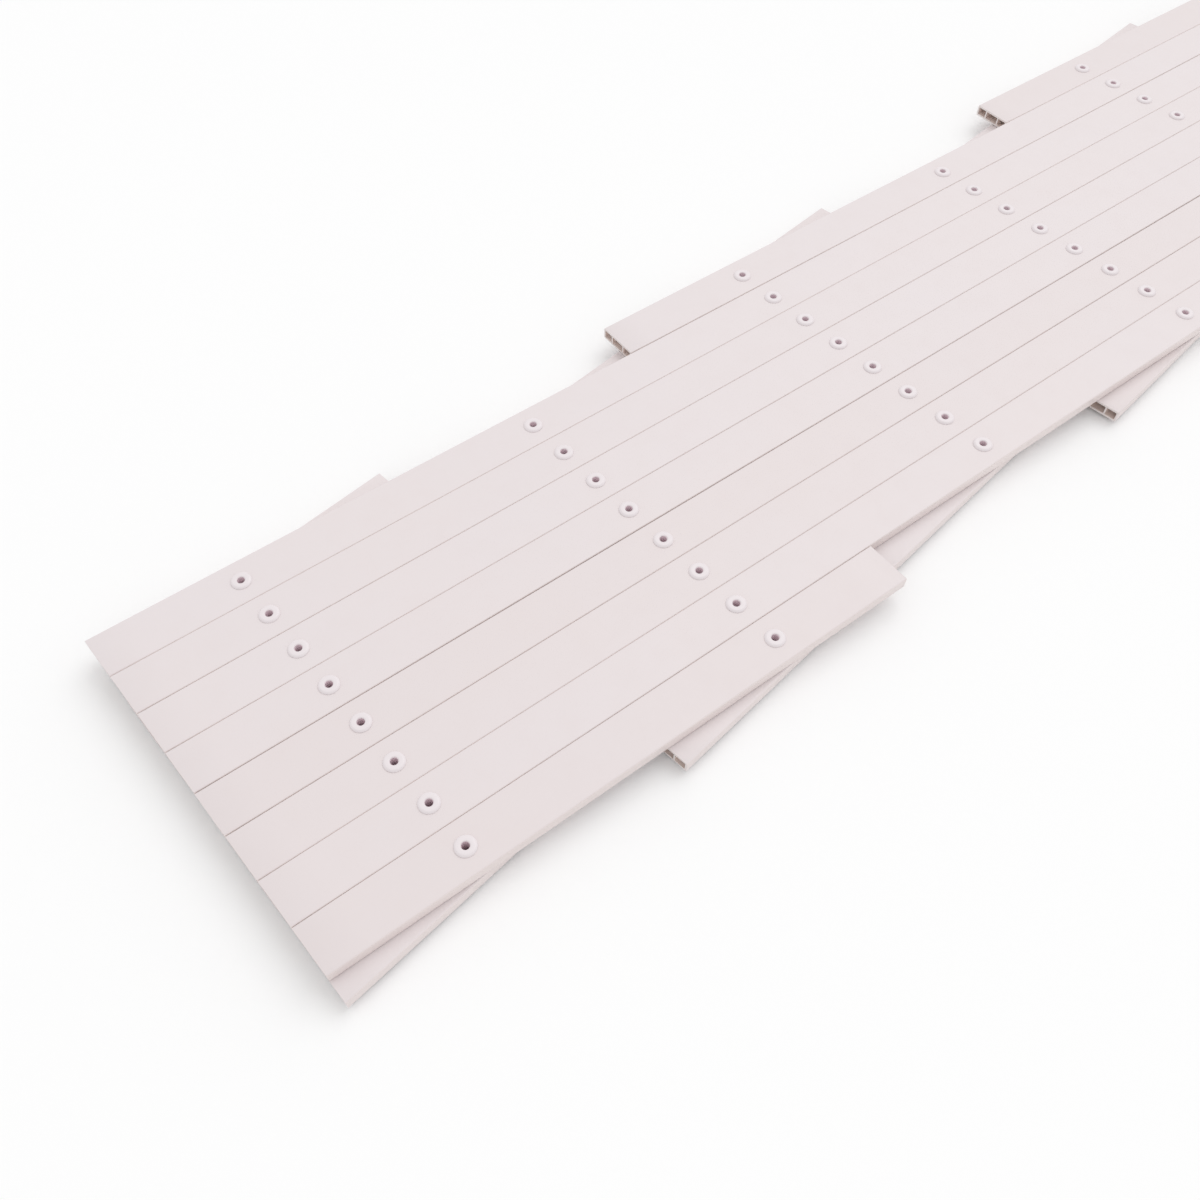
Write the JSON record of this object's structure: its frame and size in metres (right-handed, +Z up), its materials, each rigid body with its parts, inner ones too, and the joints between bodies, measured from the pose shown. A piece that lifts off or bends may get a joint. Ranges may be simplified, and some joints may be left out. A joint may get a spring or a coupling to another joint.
{
  "type": "expandable lattice panel",
  "caption": "Folded scissor lattice panel: two layers of parallel hollow flat slats that cross and are joined by a hollow rivet at every crossing, so it opens into a diamond trellis.",
  "frame": {"origin": "centre of the folded footprint, on the plane that the rivet tails lie on", "axes": "+Z up through the back layer to the front layer and the rivet heads; +Y along the folded panel, from the straight end nearest the camera in the picture to the far end; +X across it, to the right when looking along +Y"},
  "size_m": [0.2016, 1.3246, 0.0149],
  "materials": {
    "slat_plastic": "satin extruded rigid PVC, warm white, smooth faces with very faint draw lines",
    "rivet_plastic": "smooth moulded plastic, slightly cooler white than the slats"
  },
  "bodies": {
    "front_01": {"front_slat_01": "slat_plastic", "rivets_01": "rivet_plastic"},
    "front_02": {"front_slat_02": "slat_plastic", "rivets_02": "rivet_plastic"},
    "front_03": {"front_slat_03": "slat_plastic", "rivets_03": "rivet_plastic"},
    "front_04": {"front_slat_04": "slat_plastic", "rivets_04": "rivet_plastic"},
    "front_05": {"front_slat_05": "slat_plastic", "rivets_05": "rivet_plastic"},
    "front_06": {"front_slat_06": "slat_plastic", "rivets_06": "rivet_plastic"},
    "front_07": {"front_slat_07": "slat_plastic", "rivets_07": "rivet_plastic"},
    "front_08": {"front_slat_08": "slat_plastic", "rivets_08": "rivet_plastic"},
    "front_09": {"front_slat_09": "slat_plastic", "rivets_09": "rivet_plastic"},
    "front_10": {"front_slat_10": "slat_plastic", "rivets_10": "rivet_plastic"},
    "front_11": {"front_slat_11": "slat_plastic", "rivets_11": "rivet_plastic"},
    "front_12": {"front_slat_12": "slat_plastic", "rivets_12": "rivet_plastic"},
    "back_01": {"back_slat_01": "slat_plastic"},
    "back_02": {"back_slat_02": "slat_plastic"},
    "back_03": {"back_slat_03": "slat_plastic"},
    "back_04": {"back_slat_04": "slat_plastic"},
    "back_05": {"back_slat_05": "slat_plastic"},
    "back_06": {"back_slat_06": "slat_plastic"},
    "back_07": {"back_slat_07": "slat_plastic"},
    "back_08": {"back_slat_08": "slat_plastic"},
    "back_09": {"back_slat_09": "slat_plastic"},
    "back_10": {"back_slat_10": "slat_plastic"},
    "back_11": {"back_slat_11": "slat_plastic"},
    "back_12": {"back_slat_12": "slat_plastic"}
  },
  "joints": [
    {"name": "open", "type": "hinge", "parent": "front_07", "child": "back_07", "pos_m": [0.0057, 0, 0.00775], "axis": [0, 0, 1], "range_deg": [0, 96]},
    {"name": "back_03_turn", "type": "hinge", "parent": "front_07", "child": "back_03", "pos_m": [-0.03902, -0.59833, 0.00775], "axis": [0, 0, 1], "range_deg": [0, 96]},
    {"name": "back_04_turn", "type": "hinge", "parent": "front_07", "child": "back_04", "pos_m": [-0.02784, -0.44875, 0.00775], "axis": [0, 0, 1], "range_deg": [0, 96]},
    {"name": "back_05_turn", "type": "hinge", "parent": "front_07", "child": "back_05", "pos_m": [-0.01666, -0.29917, 0.00775], "axis": [0, 0, 1], "range_deg": [0, 96]},
    {"name": "back_06_turn", "type": "hinge", "parent": "front_07", "child": "back_06", "pos_m": [-0.00548, -0.14958, 0.00775], "axis": [0, 0, 1], "range_deg": [0, 96]},
    {"name": "back_08_turn", "type": "hinge", "parent": "front_07", "child": "back_08", "pos_m": [0.01688, 0.14958, 0.00775], "axis": [0, 0, 1], "range_deg": [0, 96]},
    {"name": "back_09_turn", "type": "hinge", "parent": "front_07", "child": "back_09", "pos_m": [0.02806, 0.29917, 0.00775], "axis": [0, 0, 1], "range_deg": [0, 96]},
    {"name": "back_10_turn", "type": "hinge", "parent": "front_07", "child": "back_10", "pos_m": [0.03925, 0.44875, 0.00775], "axis": [0, 0, 1], "range_deg": [0, 96]},
    {"name": "back_11_turn", "type": "hinge", "parent": "front_07", "child": "back_11", "pos_m": [0.05043, 0.59833, 0.00775], "axis": [0, 0, 1], "range_deg": [0, 96]},
    {"name": "front_03_turn", "type": "hinge", "parent": "back_03", "child": "front_03", "pos_m": [-0.08375, 0, 0.00775], "axis": [0, 0, 1], "range_deg": [-96, 0]},
    {"name": "front_04_turn", "type": "hinge", "parent": "back_04", "child": "front_04", "pos_m": [-0.06138, 0, 0.00775], "axis": [0, 0, 1], "range_deg": [-96, 0]},
    {"name": "front_05_turn", "type": "hinge", "parent": "back_05", "child": "front_05", "pos_m": [-0.03902, 0, 0.00775], "axis": [0, 0, 1], "range_deg": [-96, 0]},
    {"name": "front_06_turn", "type": "hinge", "parent": "back_06", "child": "front_06", "pos_m": [-0.01666, 0, 0.00775], "axis": [0, 0, 1], "range_deg": [-96, 0]},
    {"name": "front_02_turn", "type": "hinge", "parent": "back_04", "child": "front_02", "pos_m": [-0.08375, 0.29917, 0.00775], "axis": [0, 0, 1], "range_deg": [-96, 0]},
    {"name": "front_08_turn", "type": "hinge", "parent": "back_08", "child": "front_08", "pos_m": [0.02806, 0, 0.00775], "axis": [0, 0, 1], "range_deg": [-96, 0]},
    {"name": "front_01_turn", "type": "hinge", "parent": "back_05", "child": "front_01", "pos_m": [-0.08375, 0.59833, 0.00775], "axis": [0, 0, 1], "range_deg": [-96, 0]},
    {"name": "front_09_turn", "type": "hinge", "parent": "back_09", "child": "front_09", "pos_m": [0.05043, 0, 0.00775], "axis": [0, 0, 1], "range_deg": [-96, 0]},
    {"name": "front_10_turn", "type": "hinge", "parent": "back_10", "child": "front_10", "pos_m": [0.07279, 0, 0.00775], "axis": [0, 0, 1], "range_deg": [-96, 0]},
    {"name": "front_11_turn", "type": "hinge", "parent": "back_10", "child": "front_11", "pos_m": [0.08397, -0.14958, 0.00775], "axis": [0, 0, 1], "range_deg": [-96, 0]},
    {"name": "front_12_turn", "type": "hinge", "parent": "back_09", "child": "front_12", "pos_m": [0.08397, -0.44875, 0.00775], "axis": [0, 0, 1], "range_deg": [-96, 0]},
    {"name": "back_02_turn", "type": "hinge", "parent": "front_04", "child": "back_02", "pos_m": [-0.08375, -0.29917, 0.00775], "axis": [0, 0, 1], "range_deg": [0, 96]},
    {"name": "back_01_turn", "type": "hinge", "parent": "front_05", "child": "back_01", "pos_m": [-0.08375, -0.59833, 0.00775], "axis": [0, 0, 1], "range_deg": [0, 96]},
    {"name": "back_12_turn", "type": "hinge", "parent": "front_09", "child": "back_12", "pos_m": [0.08397, 0.44875, 0.00775], "axis": [0, 0, 1], "range_deg": [0, 96]}
  ],
  "couplings": [
    {"joint": "back_03_turn", "follows": "open", "ratio": 1},
    {"joint": "back_04_turn", "follows": "open", "ratio": 1},
    {"joint": "back_05_turn", "follows": "open", "ratio": 1},
    {"joint": "back_06_turn", "follows": "open", "ratio": 1},
    {"joint": "back_08_turn", "follows": "open", "ratio": 1},
    {"joint": "back_09_turn", "follows": "open", "ratio": 1},
    {"joint": "back_10_turn", "follows": "open", "ratio": 1},
    {"joint": "back_11_turn", "follows": "open", "ratio": 1},
    {"joint": "front_03_turn", "follows": "open", "ratio": -1},
    {"joint": "front_04_turn", "follows": "open", "ratio": -1},
    {"joint": "front_05_turn", "follows": "open", "ratio": -1},
    {"joint": "front_06_turn", "follows": "open", "ratio": -1},
    {"joint": "front_02_turn", "follows": "open", "ratio": -1},
    {"joint": "front_08_turn", "follows": "open", "ratio": -1},
    {"joint": "front_01_turn", "follows": "open", "ratio": -1},
    {"joint": "front_09_turn", "follows": "open", "ratio": -1},
    {"joint": "front_10_turn", "follows": "open", "ratio": -1},
    {"joint": "front_11_turn", "follows": "open", "ratio": -1},
    {"joint": "front_12_turn", "follows": "open", "ratio": -1},
    {"joint": "back_02_turn", "follows": "open", "ratio": 1},
    {"joint": "back_01_turn", "follows": "open", "ratio": 1},
    {"joint": "back_12_turn", "follows": "open", "ratio": 1}
  ]
}
